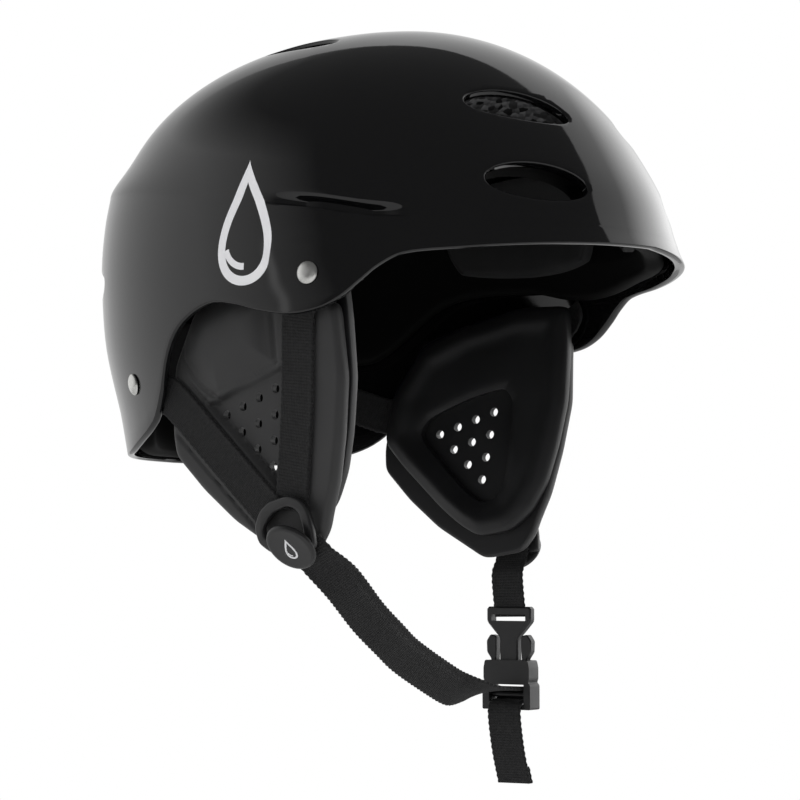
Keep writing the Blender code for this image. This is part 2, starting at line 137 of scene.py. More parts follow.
def step(a, b, x):
    """0 at a, 1 at b, smooth between."""
    t = min(max((x - a) / (b - a), 0.0), 1.0)
    return t * t * (3 - 2 * t)


def bell(x, middle, spread_out):
    return math.exp(-(((x - middle) / spread_out) ** 2))


def blend_round(u, front, side, rear):
    c = math.cos(u)
    return side + ((front if c > 0 else rear) - side) * abs(c) ** 1.5


def direction(u):
    """Plan angle u in radians as degrees from the front, 0 to 180 on either side."""
    d = abs(math.degrees(u)) % 360
    return 360 - d if d > 180 else d


def surface(u, h, inset=0.0):
    """Point of the plain shell at plan angle u and height h, that far under its outer face."""
    crease = table(CREASE, direction(u))
    top = TOP - inset
    up = min(max((h - crease) / (top - crease), 0.0), 1.0)
    dome = (1 - up ** blend_round(u, *UP_POWER)) ** (1 / blend_round(u, *DOME_POWER))
    down = max(crease - h, 0.0)
    side = (HALF_WIDTH - inset) * dome + table(SIDE_BAND, down)
    front = (HALF_FRONT - inset) * dome + BRIM_FLARE * min(down / FLARE_DROP, 2.5)
    knee = REAR_KNEE * bell(max(h - crease, 0.0), 0, KNEE_SPREAD)
    rear = (HALF_REAR - inset) * dome + knee + table(REAR_BAND, down)
    c = math.cos(u)
    s = math.sin(u)
    x = side * math.copysign(abs(s) ** (2 / PLAN_X), s)
    y = (front if c > 0 else rear) * math.copysign(abs(c) ** (2 / PLAN_Y), c)
    return Vector((x, -y, h + BRIM_Z))


def surface_frame(u, h):
    """Point of the shell with its outward normal, level direction and upward direction."""
    p = surface(u, h)
    du = surface(u + 0.01, h) - surface(u - 0.01, h)
    dh = surface(u, h + 0.001) - surface(u, h - 0.001)
    normal = du.cross(dh).normalized()
    level = Vector((0, 0, 1)).cross(normal).normalized()
    return p, normal, level, normal.cross(level)


def relief(u, h):
    """How far the moulded details stand off the plain surface: side pocket, front lobe and brim."""
    d = direction(u)
    s = h - table(CREASE, d)
    depth = table(POCKET, d)
    out = 0.0
    if s >= 0:
        out -= depth * (1 - step(*POCKET_FADE, s))
    else:
        out -= depth * (1 - step(0.0, 0.0009, -s))
        ridge = 87.0 - 1.6 * step(0.011, -0.006, h) - 1.6 * step(-0.006, -0.015, h)
        lobe = (1 - step(ridge - 1.2, ridge + 1.4, d)) * step(ridge - 34, ridge - 8, d)
        out += LOBE * lobe * step(0.016, 0.004, h)
    front = 1 - step(*FRONT_END, d)
    if front > 0:
        soft = BRIM_SOFT * math.log(1 + math.exp(-s / BRIM_SOFT)) - max(-s, 0.0)
        sweep = BRIM_FLARE / FLARE_DROP * soft + BRIM_SWELL * bell(s, 0.018, 0.014)
        out += front * (BRIM_LIP * step(0.002, -0.008, s) + sweep)
    return out


def skin_point(u, h):
    off = relief(u, h)
    p = surface(u, h)
    if abs(off) > 1e-6:
        p = p + Vector((math.sin(u), -math.cos(u), 0)) * off
    return p


# ---- node materials
def new_material(name, metal=0.0):
    mat = bpy.data.materials.new(name)
    mat.use_nodes = True
    tree = mat.node_tree
    shader = tree.nodes["Principled BSDF"]
    shader.inputs["Metallic"].default_value = metal
    return mat, tree, shader


def add(tree, kind, **values):
    node = tree.nodes.new(kind)
    for key, value in values.items():
        if key in node.inputs:
            node.inputs[key].default_value = value
        else:
            setattr(node, key, value)
    return node


def coords(tree):
    """Object coordinates in metres."""
    return add(tree, "ShaderNodeTexCoord").outputs["Object"]


def noise(tree, vector, scale, detail=2.0, rough=0.5):
    node = add(tree, "ShaderNodeTexNoise", Scale=scale, Detail=detail, Roughness=rough)
    tree.links.new(vector, node.inputs["Vector"])
    return node.outputs["Fac"]


def spread(tree, value, low, high, from_low=0.35, from_high=0.65):
    node = add(tree, "ShaderNodeMapRange")
    node.inputs["From Min"].default_value = from_low
    node.inputs["From Max"].default_value = from_high
    node.inputs["To Min"].default_value = low
    node.inputs["To Max"].default_value = high
    tree.links.new(value, node.inputs["Value"])
    return node.outputs["Result"]


def mix_colour(tree, fac, a, b):
    node = add(tree, "ShaderNodeMix", data_type="RGBA")
    node.inputs[6].default_value = (*a, 1.0)
    node.inputs[7].default_value = (*b, 1.0)
    tree.links.new(fac, node.inputs[0])
    return node.outputs[2]


def bump(tree, shader, value, distance, strength=1.0, under=None):
    node = add(tree, "ShaderNodeBump", Strength=strength, Distance=distance)
    tree.links.new(value, node.inputs["Height"])
    if under is not None:
        tree.links.new(under, node.inputs["Normal"])
    tree.links.new(node.outputs[0], shader.inputs["Normal"])
    return node.outputs[0]


def maths(tree, operation, a, b=None):
    node = add(tree, "ShaderNodeMath", operation=operation)
    for i, value in enumerate((a, b)):
        if value is None:
            continue
        if isinstance(value, (int, float)):
            node.inputs[i].default_value = value
        else:
            tree.links.new(value, node.inputs[i])
    return node.outputs[0]


def grained_material(name, dark, light, tone, rough, grain, sheen=0.0, metal=0.0, haze=None):
    """Colour that drifts from dark to light, with a fine relief.

    tone is the drift's scale and detail, grain the relief's scale, detail, roughness, depth and strength.
    The roughness goes between the two in rough, with the drift or with a noise of its own, haze."""
    mat, tree, shader = new_material(name, metal)
    where = coords(tree)
    drift = noise(tree, where, *tone)
    tree.links.new(mix_colour(tree, drift, dark, light), shader.inputs["Base Color"])
    gloss = noise(tree, where, *haze) if haze else drift
    tree.links.new(spread(tree, gloss, *rough), shader.inputs["Roughness"])
    bump(tree, shader, noise(tree, where, *grain[:3]), *grain[3:])
    shader.inputs["Sheen Weight"].default_value = sheen
    shader.inputs["Sheen Roughness"].default_value = 0.4
    return mat


def bead_material():
    """Expanded-bead liner foam: beads show in the crown, a smooth skin covers the lower part."""
    mat, tree, shader = new_material("bead_foam")
    where = coords(tree)
    cells = add(tree, "ShaderNodeTexVoronoi", Scale=420.0)
    tree.links.new(where, cells.inputs["Vector"])
    sparkle = add(tree, "ShaderNodeTexWhiteNoise")
    tree.links.new(cells.outputs["Color"], sparkle.inputs["Vector"])
    split = add(tree, "ShaderNodeSeparateXYZ")
    tree.links.new(where, split.inputs[0])
    crown = spread(tree, split.outputs["Z"], 0.0, 1.0, BEADS_FROM, BEADS_FROM + 0.008)
    shine = maths(tree, "MULTIPLY", sparkle.outputs["Value"], crown)
    tree.links.new(spread(tree, shine, 0.66, 0.30, 0.0, 1.0), shader.inputs["Roughness"])
    tree.links.new(mix_colour(tree, shine, (0.0025, 0.0025, 0.0025), (0.045, 0.045, 0.047)),
                   shader.inputs["Base Color"])
    tree.links.new(spread(tree, shine, 0.06, 0.50, 0.0, 1.0), shader.inputs["Specular IOR Level"])
    edge = spread(tree, cells.outputs["Distance"], 0.0, 1.0, 0.15, 0.75)
    bump(tree, shader, maths(tree, "MULTIPLY", edge, crown), 0.0004, 0.9)
    return mat


def web_material(name, dark, light):
    """Woven webbing. The mesh attribute "weave" holds metres across and along."""
    mat, tree, shader = new_material(name)
    place_on = add(tree, "ShaderNodeAttribute", attribute_name="weave")
    split = add(tree, "ShaderNodeSeparateXYZ")
    tree.links.new(place_on.outputs["Vector"], split.inputs[0])
    across = split.outputs["X"]
    along = split.outputs["Y"]
    slant = maths(tree, "ADD", along, maths(tree, "PINGPONG", across, 0.0012))
    yarn = None
    for value, pitch, share in ((along, RIB_PITCH, 0.25), (across, 0.0009, 0.30), (slant, 0.0010, 0.25)):
        wave = maths(tree, "SINE", maths(tree, "MULTIPLY", value, 2 * math.pi / pitch))
        wave = maths(tree, "MULTIPLY", wave, share)
        yarn = maths(tree, "ADD", yarn, wave) if yarn else wave
    fuzz = noise(tree, coords(tree), 900.0, 3.0, 0.7)
    shade = maths(tree, "MULTIPLY", maths(tree, "ADD", yarn, 0.5), maths(tree, "ADD", fuzz, 0.5))
    tree.links.new(mix_colour(tree, shade, dark, light), shader.inputs["Base Color"])
    tree.links.new(spread(tree, fuzz, 0.68, 0.88), shader.inputs["Roughness"])
    first = bump(tree, shader, yarn, 0.00016, 0.8)
    bump(tree, shader, fuzz, 0.00008, 0.5, first)
    shader.inputs["Sheen Weight"].default_value = 0.06
    shader.inputs["Sheen Roughness"].default_value = 0.35
    return mat


BEADS_FROM = -0.056  # height in the frame above which the liner's beads are bare
RIB_PITCH = 0.0013  # of the webbing

GLOSS = grained_material("gloss_shell", (0.0028, 0.0028, 0.0030), (0.0048, 0.0048, 0.0052), (9.0, 2.0),
                         (0.035, 0.075), (210.0, 2.0, 0.5, 0.00003, 0.35), haze=(38.0, 3.0))
BEADS = bead_material()
PAD = grained_material("moulded_foam", (0.0175, 0.0175, 0.018), (0.0245, 0.0245, 0.025), (26.0, 4.0),
                       (0.49, 0.63), (1400.0, 3.0, 0.7, 0.00006, 0.8), sheen=0.15)
# Darker foam: the inner cushion's colour, also laid on the outer pad's back faces as painted shade.
DARK_FOAM_AND_BACK_SHADE = grained_material("inner_foam_and_back_shade", (0.006, 0.006, 0.0065), (0.010, 0.010, 0.011), (26.0, 4.0),
                            (0.40, 0.54), (1400.0, 3.0, 0.7, 0.00006, 0.8))
KNIT = grained_material("pad_knit", (0.0028, 0.0028, 0.0031), (0.0052, 0.0052, 0.0056), (26.0, 4.0),
                        (0.79, 0.93), (2200.0, 3.0, 0.7, 0.0001, 0.8))
WEB = web_material("webbing", (0.0022, 0.0022, 0.0025), (0.0095, 0.0095, 0.0100))
NYLON = grained_material("moulded_nylon", (0.0075, 0.0075, 0.008), (0.0125, 0.0125, 0.013), (60.0, 4.0),
                         (0.30, 0.46), (1800.0, 2.0, 0.6, 0.00003, 0.6))
STEEL = grained_material("rivet_steel", (0.50, 0.50, 0.48), (0.78, 0.78, 0.76), (300.0, 4.0),
                         (0.24, 0.42), (1500.0, 2.0, 0.5, 0.00003, 0.4), metal=1.0)
PRINT = grained_material("white_print", (0.80, 0.80, 0.83), (0.90, 0.90, 0.91), (80.0, 3.0),
                         (0.32, 0.32), (700.0, 2.0, 0.5, 0.00003, 0.3))


# ---- mesh helpers
def shade_faces(bm, sharp, smooth=True):
    """Smooth shading, broken at edges sharper than that many degrees."""
    limit = math.radians(sharp)
    for face in bm.faces:
        face.smooth = smooth
    for edge in bm.edges:
        if len(edge.link_faces) == 2:
            edge.smooth = edge.calc_face_angle(0.0) < limit


def make(bm, name, mat, sharp=50.0, smooth=True):
    """Object from bm, with its faces outward."""
    bmesh.ops.recalc_face_normals(bm, faces=bm.faces)
    if bm.calc_volume(signed=True) < 0:
        bmesh.ops.reverse_faces(bm, faces=bm.faces)
    shade_faces(bm, sharp, smooth)
    mesh = bpy.data.meshes.new(name)
    bm.to_mesh(mesh)
    bm.free()
    obj = bpy.data.objects.new(name, mesh)
    bpy.context.scene.collection.objects.link(obj)
    mesh.materials.append(mat)
    return obj


def baked(obj, sharp):
    """Apply obj's modifiers to its mesh."""
    graph = bpy.context.evaluated_depsgraph_get()
    mesh = bpy.data.meshes.new_from_object(obj.evaluated_get(graph))
    old = obj.data
    obj.modifiers.clear()
    obj.data = mesh
    bpy.data.meshes.remove(old)
    mesh.name = obj.name
    bm = bmesh.new()
    bm.from_mesh(mesh)
    shade_faces(bm, sharp)
    bm.to_mesh(mesh)
    bm.free()


def stand_in(obj, body, node):
    """Let obj ride on body and take that CAD node's place."""
    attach(obj, body)
    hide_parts(node)


def subtract(obj, cutters, sharp=50.0):
    for cutter in cutters:
        mod = obj.modifiers.new("cut", "BOOLEAN")
        mod.operation = "DIFFERENCE"
        mod.solver = "EXACT"
        mod.object = cutter
    baked(obj, sharp)
    for cutter in cutters:
        bpy.data.objects.remove(cutter, do_unlink=True)


def soften(obj, width, segments, angle, sharp):
    mod = obj.modifiers.new("soften", "BEVEL")
    mod.width = width
    mod.segments = segments
    mod.limit_method = "ANGLE"
    mod.angle_limit = math.radians(angle)
    mod.use_clamp_overlap = True
    baked(obj, sharp)


def place(obj, origin, x_axis, y_axis, z_axis):
    turn = Matrix((x_axis, y_axis, z_axis)).transposed().to_4x4()
    obj.data.transform(Matrix.Translation(origin) @ turn)
    obj.data.update()


def ring_faces(bm, a, b):
    count = len(a)
    for i in range(count):
        j = (i + 1) % count
        bm.faces.new((a[i], a[j], b[j], b[i]))


def fan(bm, ring, tip):
    for i in range(len(ring)):
        bm.faces.new((ring[i], ring[(i + 1) % len(ring)], tip))


def cap(bm, ring):
    """Close a ring from its middle."""
    fan(bm, ring, bm.verts.new(sum((v.co for v in ring), Vector()) / len(ring)))


def prism(name, outline, low, high, mat):
    """Straight solid between two heights."""
    bm = bmesh.new()
    base = [bm.verts.new((x, y, low)) for x, y in outline]
    lid = [bm.verts.new((x, y, high)) for x, y in outline]
    bm.faces.new(base)
    bm.faces.new(lid)
    ring_faces(bm, base, lid)
    return make(bm, name, mat, smooth=False)


def ellipse(length, width, steps):
    turn = 2 * math.pi / steps
    return [(length / 2 * math.cos(i * turn), width / 2 * math.sin(i * turn)) for i in range(steps)]


def rounded(points, radius, steps=6):
    """Outline with its corners rounded off."""
    out = []
    count = len(points)
    for i in range(count):
        corner = Vector(points[i])
        before = (Vector(points[i - 1]) - corner).normalized()
        after = (Vector(points[(i + 1) % count]) - corner).normalized()
        a = corner + before * radius
        b = corner + after * radius
        for k in range(steps + 1):
            t = k / steps
            p = a * (1 - t) ** 2 + corner * 2 * t * (1 - t) + b * t * t
            out.append((p.x, p.y))
    return out


# ---- camera
CAMERA_LENS = 105.75
CAMERA_SPOT = (-0.8601, -0.6023, -0.224)
CAMERA_TURN = (94.38, 0, -55)  # degrees


def make_camera():
    data = bpy.data.cameras.new("camera")
    data.lens = CAMERA_LENS
    data.sensor_width = 36
    cam = bpy.data.objects.new("camera", data)
    cam.location = CAMERA_SPOT
    cam.rotation_euler = [math.radians(a) for a in CAMERA_TURN]
    bpy.context.scene.collection.objects.link(cam)
    bpy.context.scene.camera = cam


# ---- webbing
def smooth_run(run, steps=12):
    """A smooth curve through (point, face normal) stations."""
    out = []
    last = len(run) - 1
    for i in range(last):
        a, b, c, d = [Vector(run[min(max(k, 0), last)][0]) for k in (i - 1, i, i + 1, i + 2)]
        for k in range(steps):
            t = k / steps
            p = b + (c - a) * t / 2
            p = p + (a * 2 - b * 5 + c * 4 - d) * t * t / 2 + (b * 3 - a - c * 3 + d) * t**3 / 2
            out.append((p, Vector(run[i][1]).lerp(Vector(run[i + 1][1]), t)))
    out.append((Vector(run[last][0]), Vector(run[last][1])))
    return out


def even_run(run, spacing):
    """The same run resampled at an even spacing along its length."""
    lengths = [0.0]
    for a, b in zip(run[:-1], run[1:]):
        lengths.append(lengths[-1] + (b[0] - a[0]).length)
    total = lengths[-1]
    count = max(int(round(total / spacing)), 2)
    out = []
    k = 0
    for i in range(count + 1):
        s = total * i / count
        while k < len(run) - 2 and lengths[k + 1] < s:
            k += 1
        t = (s - lengths[k]) / max(lengths[k + 1] - lengths[k], 1e-9)
        out.append((run[k][0].lerp(run[k + 1][0], t), run[k][1].lerp(run[k + 1][1], t), s))
    return out, total


SCALLOP = 0.00018  # how far the webbing's edge swings in and out
RIB_DEPTH = 0.22  # share of the thickness lost between ribs
STATIONS = 0.00033  # spacing of the mesh's rows along the webbing
ACROSS = (-1.0, -0.965, -0.90, -0.82, -0.66, -0.44, -0.22, 0, 0.22, 0.44, 0.66, 0.82, 0.90, 0.965, 1.0)


def webbing(name, run, width=WEB_W, curl=None, start=0.0):
    """Flat woven strap through (point, face normal) stations, ribs and rolled edges in its mesh.

    curl(t) gives how far the upper edge folds back, in metres, at share t of the length."""
    points, total = even_run(run, STATIONS)
    bm = bmesh.new()
    weave = bm.verts.layers.float_vector.new("weave")
    last = None
    for i, (p, n, s) in enumerate(points):
        ahead = points[min(i + 1, len(points) - 1)][0]
        behind = points[max(i - 1, 0)][0]
        along = (ahead - behind).normalized()
        n = (n - along * n.dot(along)).normalized()
        across = along.cross(n)
        fold = curl(s / total) if curl else 0.0
        wave = 0.5 + 0.5 * math.cos(2 * math.pi * (s + start) / RIB_PITCH)
        half = width / 2 + SCALLOP * math.cos(2 * math.pi * (s + start) / (2.2 * RIB_PITCH))
        ring = []
        for sign, row in ((1, ACROSS), (-1, ACROSS[::-1][1:-1])):
            for a in row:
                edge = abs(a)
                body = math.sqrt(max(1 - max((edge - 0.93) / 0.07, 0.0) ** 2, 0.0))
                swell = 1.0 + 0.16 * bell(edge, 0.88, 0.05)
                ribs = 1.0 - RIB_DEPTH * (1 - wave) * (1 - step(0.78, 0.86, edge))
                z = sign * WEB_T / 2 * body * swell * ribs
                bend = fold * step(0.50, 0.72, -a)
                shift = fold * 0.25 * step(0.60, 1.0, -a)
                v = bm.verts.new(p + across * (a * half + shift) + n * (z - bend))
                v[weave] = (a * width / 2, s + start, 0)
                ring.append(v)
        if last:
            ring_faces(bm, last, ring)
        else:
            bm.faces.new(ring)
        last = ring
    bm.faces.new(last)
    return make(bm, name, WEB, 75.0), total


def world_run(run):
    return [(Vector(p) + Vector((0, 0, BRIM_Z)), Vector(n)) for p, n in run]


# the chin strap's stations: point with its height from the brim edge, then the way its face looks
CHIN_RIGHT = (
    ((-0.0842, -0.0110, -0.1130), (-0.70, -0.20, -0.50)),
    ((-0.0800, -0.0138, -0.1190), (-0.62, -0.36, -0.68)),
    ((-0.0652, -0.0166, -0.1296), (-0.40, -0.70, -0.60)),
    ((-0.0420, -0.0134, -0.1440), (-0.32, -0.76, -0.56)),
    ((-0.0230, -0.0114, -0.1542), (-0.26, -0.80, -0.54)),
    ((-0.0074, -0.0094, -0.1618), (-0.22, -0.82, -0.52)),
)
CHIN_FRONT = (
    ((0.0200, -0.0074, -0.1724), (-0.16, -0.84, -0.52)), ((0.0360, -0.0066, -0.1778), (-0.12, -0.80, -0.60)),
    ((0.0500, -0.0064, -0.1794), (-0.10, -0.50, -0.86)), ((0.0640, -0.0068, -0.1790), (0, -0.10, -1)),
    ((0.0755, -0.0070, -0.1788), (0.0, 0, -1)),
)
ROUND_BAR = (
    ((0.0800, -0.0070, -0.1784), (0.30, 0, -1)), ((0.0838, -0.0070, -0.1798), (0.9, 0, -0.5)),
    ((0.0842, -0.0070, -0.1822), (1, 0, 0.3)), ((0.0818, -0.0070, -0.1842), (0.4, 0, 0.9)),
    ((0.0780, -0.0070, -0.1848), (-0.25, 0, 0.95)),
)
TAIL = (
    ((0.0755, -0.0070, -0.1866), (-1, 0, 0.35)), ((0.0750, -0.0072, -0.1930), (-1, 0, 0)),
    ((0.0780, -0.0074, -0.2080), (-1, 0, 0)), ((0.0830, -0.0076, -0.2228), (-1, 0, 0)),
)
CHIN_LEFT = (
    ((0.0846, -0.0065, -0.1100), (-1, 0, 0)), ((0.0828, -0.0065, -0.1180), (-1, 0, 0)),
    ((0.0790, -0.0066, -0.1240), (-1, 0, 0)), ((0.0790, -0.0068, -0.1320), (-1, 0, 0)),
    ((0.0810, -0.0070, -0.1452), (-1, 0, 0)),
)
CORD_SPLIT = 0.1095  # length at which the right strap's two pieces meet
CURL = 0.0016


def split_run(run, length):
    """Two runs that meet at about that length from the start, and the length itself."""
    points = even_run(run, 0.001)[0]
    k = min(range(len(points)), key=lambda i: abs(points[i][2] - length))
    near = [(p, n) for p, n, s in points[:k + 1]]
    far = [(p, n) for p, n, s in points[k:]]
    return near, far, points[k][2]


def chin_straps():
    whole = smooth_run(world_run(CHIN_RIGHT + CHIN_FRONT + ROUND_BAR + TAIL))
    near, far, where = split_run(whole, CORD_SPLIT)

    def near_curl(t):
        return CURL * step(0.06, 0.3, t)

    def far_curl(t):
        return CURL * (1 - step(0.18, 0.42, t))

    a, length_a = webbing("chin_web_right", near, curl=near_curl)
    b, length_b = webbing("chin_web_front", far, curl=far_curl, start=where)
    hem = [(p + n.normalized() * -0.0016, n) for p, n in far[-9:]]
    fold, _ = webbing("tail_hem", hem, start=where)
    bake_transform(a)
    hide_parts("chin_strap_right")
    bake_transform(b)
    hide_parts("chin_strap_front", "strap_tail")
    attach(fold, "buckle_socket")
    c, _ = webbing("chin_web_left", smooth_run(world_run(CHIN_LEFT)), width=0.0172)
    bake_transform(c)
    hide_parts("chin_strap_left")


# ---- shell and liner
def spaced_directions(count, focus):
    """Plan angles all round, closer together over the moulded side details if focus is true."""
    samples = 1440
    total = 0.0
    sums = [0.0]
    for i in range(samples):
        d = direction(-math.pi + 2 * math.pi * (i + 0.5) / samples)
        total += 1.0 + (1.7 * bell(d, 80, 16) if focus else 0.0)
        sums.append(total)
    out = []
    k = 0
    for i in range(count):
        goal = total * i / count
        while sums[k + 1] < goal:
            k += 1
        part = (goal - sums[k]) / (sums[k + 1] - sums[k])
        out.append(-math.pi + 2 * math.pi * (k + part) / samples)
    return out


# heights over the crease of the mesh rows that carry the pocket
POCKET_ROWS = (0.0105, 0.0085, 0.0070, 0.0058, 0.0047, 0.0037, 0.0028, 0.0020, 0.0013, 0.0007, 0.0003)


def outer_heights(edge, crown, band):
    """Heights from crown to edge for each plan direction, gathered at the crease."""
    def at(d):
        crease = table(CREASE, d)
        start = crease + 0.0125
        out = []
        for i in range(1, crown + 1):
            t = i / crown
            out.append(TOP - (TOP - start) * (1 - math.cos(t * math.pi / 2)) ** 0.9)
        out += [crease + s for s in POCKET_ROWS]
        for i in range(band + 1):
            out.append(crease + (edge(d) - crease) * (i / band) ** 1.7)
        return out
    return at


def grid_skin(bm, angles, heights, point, pole):
    """Open skin of rings from the pole down. Returns its last ring."""
    tip = bm.verts.new(pole)
    rings = []
    columns = [heights(direction(u)) for u in angles]
    for row in range(len(columns[0])):
        rings.append([bm.verts.new(point(u, columns[i][row])) for i, u in enumerate(angles)])
    count = len(angles)
    for i in range(count):
        bm.faces.new((tip, rings[0][i], rings[0][(i + 1) % count]))
    for a, b in zip(rings[:-1], rings[1:]):
        ring_faces(bm, a, b)
    return rings[-1]


def shell_bmesh(angles, out_point, inset_out, inset_in, edge_table, lip, crown, band):
    """Closed dome with a rounded lower lip. out_point gives its outer skin from plan angle and height."""
    bm = bmesh.new()
    bend = 10

    def outer_edge(d):
        return table(edge_table, d) + lip

    def in_point(u, h):
        return surface(u, h, inset_in)

    last = grid_skin(bm, angles, outer_heights(outer_edge, crown, band), out_point,
                     (0, 0, TOP - inset_out + BRIM_Z))
    inner = grid_skin(bm, angles, inner_heights(outer_edge, inset_in), in_point,
                      (0, 0, TOP - inset_in + BRIM_Z))
    for k in range(1, bend):
        turn = math.pi * k / bend
        ring = []
        for u in angles:
            h = outer_edge(direction(u))
            p = out_point(u, h)
            q = in_point(u, h)
            spot = (p + q) / 2 + (p - q) / 2 * math.cos(turn) + Vector((0, 0, -lip * math.sin(turn)))
            ring.append(bm.verts.new(spot))
        ring_faces(bm, last, ring)
        last = ring
    ring_faces(bm, last, inner)
    return bm


def inner_heights(edge, inset, crown=26, band=12):
    def at(d):
        top = TOP - inset
        crease = max(table(CREASE, d), edge(d) + 0.004)
        out = []
        for i in range(1, crown + 1):
            out.append(top - (top - crease) * (1 - math.cos(i / crown * math.pi / 2)) ** 0.9)
        for i in range(1, band + 1):
            out.append(crease + (edge(d) - crease) * i / band)
        return out
    return at


VENT_DEEP = 0.013
ROOF = 0.012  # height at which the vent cutters are closed, clear of the shell


def vent_cutter(tree, side, degrees, h, length, width, turn, lip, steps=72):
    """Solid that cuts a vent whose lip rolls into the shell. tree is the outer skin."""
    u = math.radians(degrees) * side
    p, normal, level, up = surface_frame(u, h)
    spin = Matrix.Rotation(math.radians(turn) * side, 3, "Z")
    bm = bmesh.new()
    levels = [(0.0, -VENT_DEEP), (0.0, -lip)]
    for k in range(1, 6):
        phi = math.radians(13 * k)
        levels.append((lip * (1 - math.cos(phi)), -lip + lip * math.sin(phi)))
    grow, z = levels[-1]
    levels.append((grow + (0.0016 - z) / math.tan(math.radians(25)), 0.0016))
    last = None
    for grow, z in levels:
        ring = []
        for i in range(steps):
            angle = 2 * math.pi * i / steps
            c = math.cos(angle)
            s = math.sin(angle)
            out = Vector((c / (length / 2), s / (width / 2), 0)).normalized()
            flat = spin @ (Vector((length / 2 * c, width / 2 * s, 0)) + out * grow)
            spot = p + level * flat.x + up * flat.y
            if z >= -lip - 1e-6:
                spot = tree.ray_cast(spot + normal * 0.02, -normal)[0] or spot
            ring.append(bm.verts.new(spot + normal * z))
        if last:
            ring_faces(bm, last, ring)
        else:
            cap(bm, ring)
        last = ring
    roof = [bm.verts.new(v.co - normal * ((v.co - p).dot(normal) - ROOF)) for v in last]
    ring_faces(bm, last, roof)
    cap(bm, roof)
    return make(bm, "vent_cutter", GLOSS)


def rivet_hole(side, degrees, h):
    p, normal, level, up = surface_frame(math.radians(degrees) * side, h)
    cutter = prism("rivet_hole", ellipse(0.0052, 0.0052, 24), -0.008, 0.004, GLOSS)
    place(cutter, p, level, up, normal)
    return cutter


def make_shell():
    bm = shell_bmesh(spaced_directions(330, True), skin_point, 0.0, SHELL_T, EDGE, 0.0009, 52, 30)
    bm.normal_update()
    tree = BVHTree.FromBMesh(bm)
    shell = make(bm, "shell", GLOSS)
    cutters = []
    for side in (-1, 1):
        for vent in VENTS:
            lip = 0.0015 if vent[3] > 0.013 else 0.0011
            cutters.append(vent_cutter(tree, side, *vent, lip))
        for _, degrees, h in RIVETS:
            cutters.append(rivet_hole(side, degrees, h))
    subtract(shell, cutters, 48.0)
    stand_in(shell, "helmet", "outer_shell")
    return tree


def make_liner():
    def out_point(u, h):
        return surface(u, h, LINER_OUT)

    bm = shell_bmesh(spaced_directions(180, False), out_point, LINER_OUT, LINER_IN, LINER_EDGE, 0.0030, 30, 14)
    liner = make(bm, "liner", BEADS)
    cutters = []
    for side in (-1, 1):
        for degrees, h, length, width, turn in VENTS:
            p, normal, level, up = surface_frame(math.radians(degrees) * side, h)
            cutter = prism("liner_cut", ellipse(length + 0.001, width + 0.001, 48), -0.030, 0.004, BEADS)
            cutter.data.transform(Matrix.Rotation(math.radians(turn) * side, 4, "Z"))
            place(cutter, p, level, up, normal)
            cutters.append(cutter)
    subtract(liner, cutters, 48.0)
    stand_in(liner, "helmet", "foam_liner")


# ---- comfort pads inside the liner
PAD_RIM = 0.0006  # thickness of a pad at its very edge
SEAM = 0.0008


def pad_inset(face, reach, seam_at, seam_width):
    """Depth of a pad's back (face 0) or crowned front (face 1), at that share of its half size."""
    if face == 0:
        return PAD_OUT
    crown = (1 - reach ** 6) ** 0.5
    return PAD_OUT + PAD_RIM + (PAD_IN - PAD_OUT - PAD_RIM) * crown - SEAM * bell(reach, seam_at, seam_width)


def finish_pad(bm, name, node):
    obj = make(bm, name, KNIT)
    stand_in(obj, "helmet", node)


def cushion(name, node, u0, u1, h0, h1, columns=44, rows=26):
    """Knitted pad on the inside of the liner, crowned, with a sewn border."""
    bm = bmesh.new()
    rims = []
    for face in (0, 1):
        skin = []
        for row in range(rows + 1):
            line = []
            for i in range(columns + 1):
                a = math.sin((-1 + 2 * i / columns) * math.pi / 2)
                b = math.sin((-1 + 2 * row / rows) * math.pi / 2)
                a, b = a * math.sqrt(1 - 0.30 * b * b), b * math.sqrt(1 - 0.30 * a * a)
                u = math.radians((u0 + u1) / 2 + a * (u1 - u0) / 2)
                h = (h0 + h1) / 2 + b * (h1 - h0) / 2
                reach = max(abs(-1 + 2 * i / columns), abs(-1 + 2 * row / rows))
                line.append(bm.verts.new(surface(u, h, pad_inset(face, reach, 0.80, 0.03))))
            skin.append(line)
        for r in range(rows):
            for i in range(columns):
                bm.faces.new((skin[r][i], skin[r][i + 1], skin[r + 1][i + 1], skin[r + 1][i]))
        rim = skin[0] + [line[-1] for line in skin[1:]]
        rims.append(rim + skin[-1][-2::-1] + [line[0] for line in skin[-2:0:-1]])
    ring_faces(bm, rims[0], rims[1])
    finish_pad(bm, name, node)


def crown_cushion(columns=64, rings=18):
    bm = bmesh.new()
    rims = []
    for face in (0, 1):
        pole = bm.verts.new((0, 0, TOP - (PAD_IN if face else PAD_OUT) + BRIM_Z))
        last = None
        for k in range(1, rings + 1):
            t = k / rings
            inset = pad_inset(face, t, 0.82, 0.04)
            h = TOP - inset - 0.0125 * t * t
            ring = []
            for i in range(columns):
                ring.append(bm.verts.new(surface(-math.pi + 2 * math.pi * i / columns, h, inset)))
            if last:
                ring_faces(bm, last, ring)
            else:
                fan(bm, ring, pole)
            last = ring
        rims.append(last)
    ring_faces(bm, rims[0], rims[1])
    finish_pad(bm, "crown_cushion", "crown_pad")


